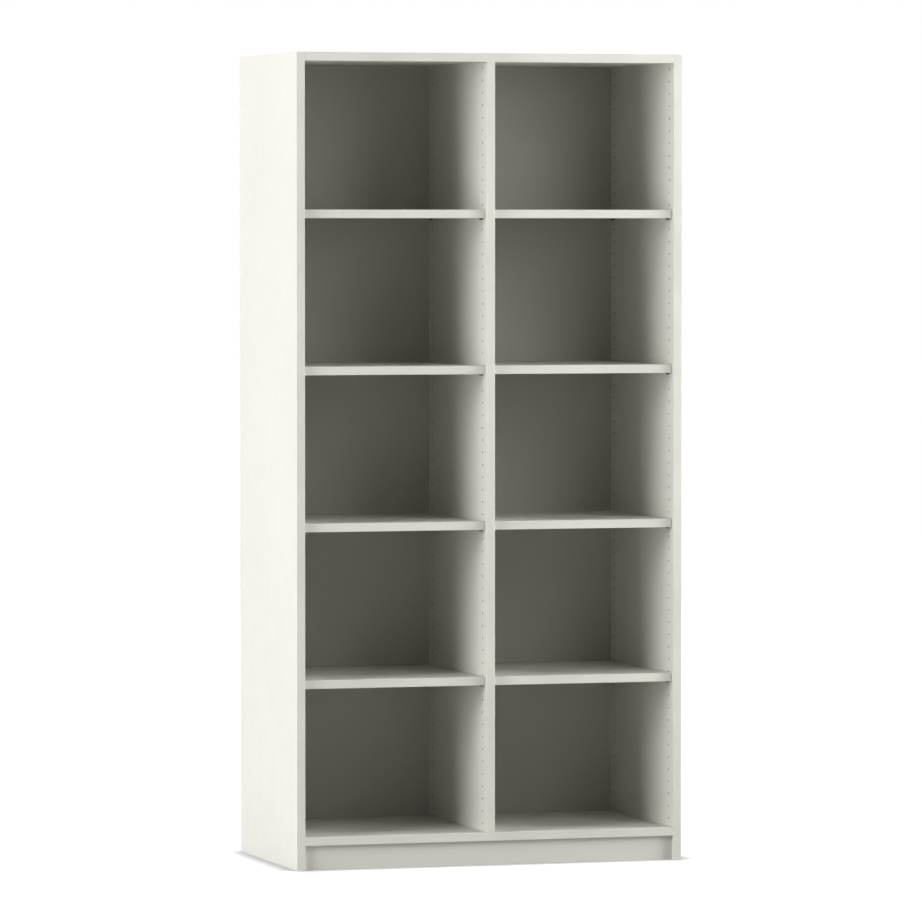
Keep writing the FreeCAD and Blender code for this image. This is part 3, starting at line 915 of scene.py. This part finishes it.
def floor_lift(tree):
    """The white that the camera sees on the floor: full far away, less nearby, and least where they touch,
    as a painted contact shadow.
    """
    half = (cad_box[1] - cad_box[0]) / 2
    place = add(tree, "ShaderNodeTexCoord").outputs["Object"]
    past_outline = (
        ("ABSOLUTE", {}),
        ("SUBTRACT", {1: (half.x, half.y, 0)}),
        ("MAXIMUM", {1: (0, 0, 0)}),
    )
    for operation, values in past_outline:
        step = add(tree, "ShaderNodeVectorMath", values, operation=operation)
        tree.links.new(place, step.inputs[0])
        place = step.outputs["Vector"]
    distance = add(tree, "ShaderNodeVectorMath", operation="LENGTH")
    tree.links.new(place, distance.inputs[0])
    strength = spread(tree, distance.outputs["Value"], FLOOR_LIFT_NEAR, 1.0, start=0.0, end=FLOOR_FADE)
    # Painted contact shadow: ambient occlusion darkens the floor's white where the bookcase stands on it
    openness = add(tree, "ShaderNodeAmbientOcclusion", {"Distance": PAINTED_CONTACT_SHADOW_REACH}, samples=PAINTED_CONTACT_SHADOW_SAMPLES)
    painted_contact_shadow = add(tree, "ShaderNodeMath", {1: PAINTED_CONTACT_SHADOW_DEPTH}, operation="POWER")
    tree.links.new(openness.outputs["AO"], painted_contact_shadow.inputs[0])
    for share in (painted_contact_shadow.outputs[0], camera_share(tree)):
        product = add(tree, "ShaderNodeMath", operation="MULTIPLY")
        tree.links.new(strength, product.inputs[0])
        tree.links.new(share, product.inputs[1])
        strength = product.outputs[0]
    return strength


def make_floor():
    """A wide pale floor that fades to white and keeps the object's shadow."""
    mesh = bmesh.new()
    square = ((-1, -1), (1, -1), (1, 1), (-1, 1))
    mesh.faces.new([mesh.verts.new((x * FLOOR_HALF, y * FLOOR_HALF, 0)) for x, y in square])
    material = bpy.data.materials.new("pale_floor")
    material.use_nodes = True
    tree = material.node_tree
    tree.nodes.clear()
    matt = add(tree, "ShaderNodeBsdfDiffuse", {"Color": (*FLOOR_PALE, 1)})
    lift = add(tree, "ShaderNodeEmission", {"Color": (*STUDIO_WHITE, 1)})
    both = add(tree, "ShaderNodeAddShader")
    output = add(tree, "ShaderNodeOutputMaterial")
    tree.links.new(floor_lift(tree), lift.inputs["Strength"])
    tree.links.new(matt.outputs[0], both.inputs[0])
    tree.links.new(lift.outputs[0], both.inputs[1])
    tree.links.new(both.outputs[0], output.inputs["Surface"])
    piece_from(mesh, "floor", [material])


def make_world():
    """White where the camera looks, and a dim even light from everywhere else."""
    world = bpy.data.worlds.new("studio")
    world.use_nodes = True
    tree = world.node_tree
    tree.nodes.clear()
    ambient = add(tree, "ShaderNodeBackground", {"Color": (*STUDIO_WHITE, 1), "Strength": AMBIENT_LEVEL})
    white = add(tree, "ShaderNodeBackground", {"Color": (*STUDIO_WHITE, 1), "Strength": 1.0})
    choice = add(tree, "ShaderNodeMixShader")
    output = add(tree, "ShaderNodeOutputWorld")
    tree.links.new(camera_share(tree), choice.inputs[0])
    tree.links.new(ambient.outputs[0], choice.inputs[1])
    tree.links.new(white.outputs[0], choice.inputs[2])
    tree.links.new(choice.outputs[0], output.inputs["Surface"])
    bpy.context.scene.world = world


def soft_lamp(name, azimuth, elevation, level, distance=LAMP_DISTANCE, size=LAMP_SIZE):
    """A square soft lamp that faces the middle of the bookcase, as strong as its level asks from there."""
    data = bpy.data.lights.new(name, "AREA")
    data.shape = "SQUARE"
    data.size = size
    data.energy = level * (math.pi * distance) ** 2
    lamp = bpy.data.objects.new(name, data)
    turn = math.radians(azimuth)
    rise = math.radians(elevation)
    away = Vector((math.sin(turn) * math.cos(rise), -math.cos(turn) * math.cos(rise), math.sin(rise)))
    lamp.location = (cad_box[0] + cad_box[1]) / 2 + away * distance
    lamp.rotation_mode = "QUATERNION"
    lamp.rotation_quaternion = away.to_track_quat("Z", "Y")
    bpy.context.scene.collection.objects.link(lamp)


def make_camera():
    """The camera of the photograph."""
    data = bpy.data.cameras.new("camera")
    data.sensor_width = SENSOR_MM
    data.lens = CAMERA_FOCUS_PIXELS / PHOTO_PIXELS * SENSOR_MM
    data.clip_end = CAMERA_REACH
    camera = bpy.data.objects.new("camera", data)
    camera.location = CAMERA_PLACE
    camera.rotation_euler = (math.pi / 2 + CAMERA_PITCH, 0, CAMERA_YAW)
    bpy.context.scene.collection.objects.link(camera)
    bpy.context.scene.camera = camera


make_fixings()
note_rows()
for board, ways in RAW_FACES.items():
    drilled_board(board, ways)
dress_kept_pieces()
make_floor()
make_world()
for lamp_name, setting in LAMPS.items():
    soft_lamp(lamp_name, **setting)
make_camera()
bpy.context.scene.view_settings.view_transform = "Standard"
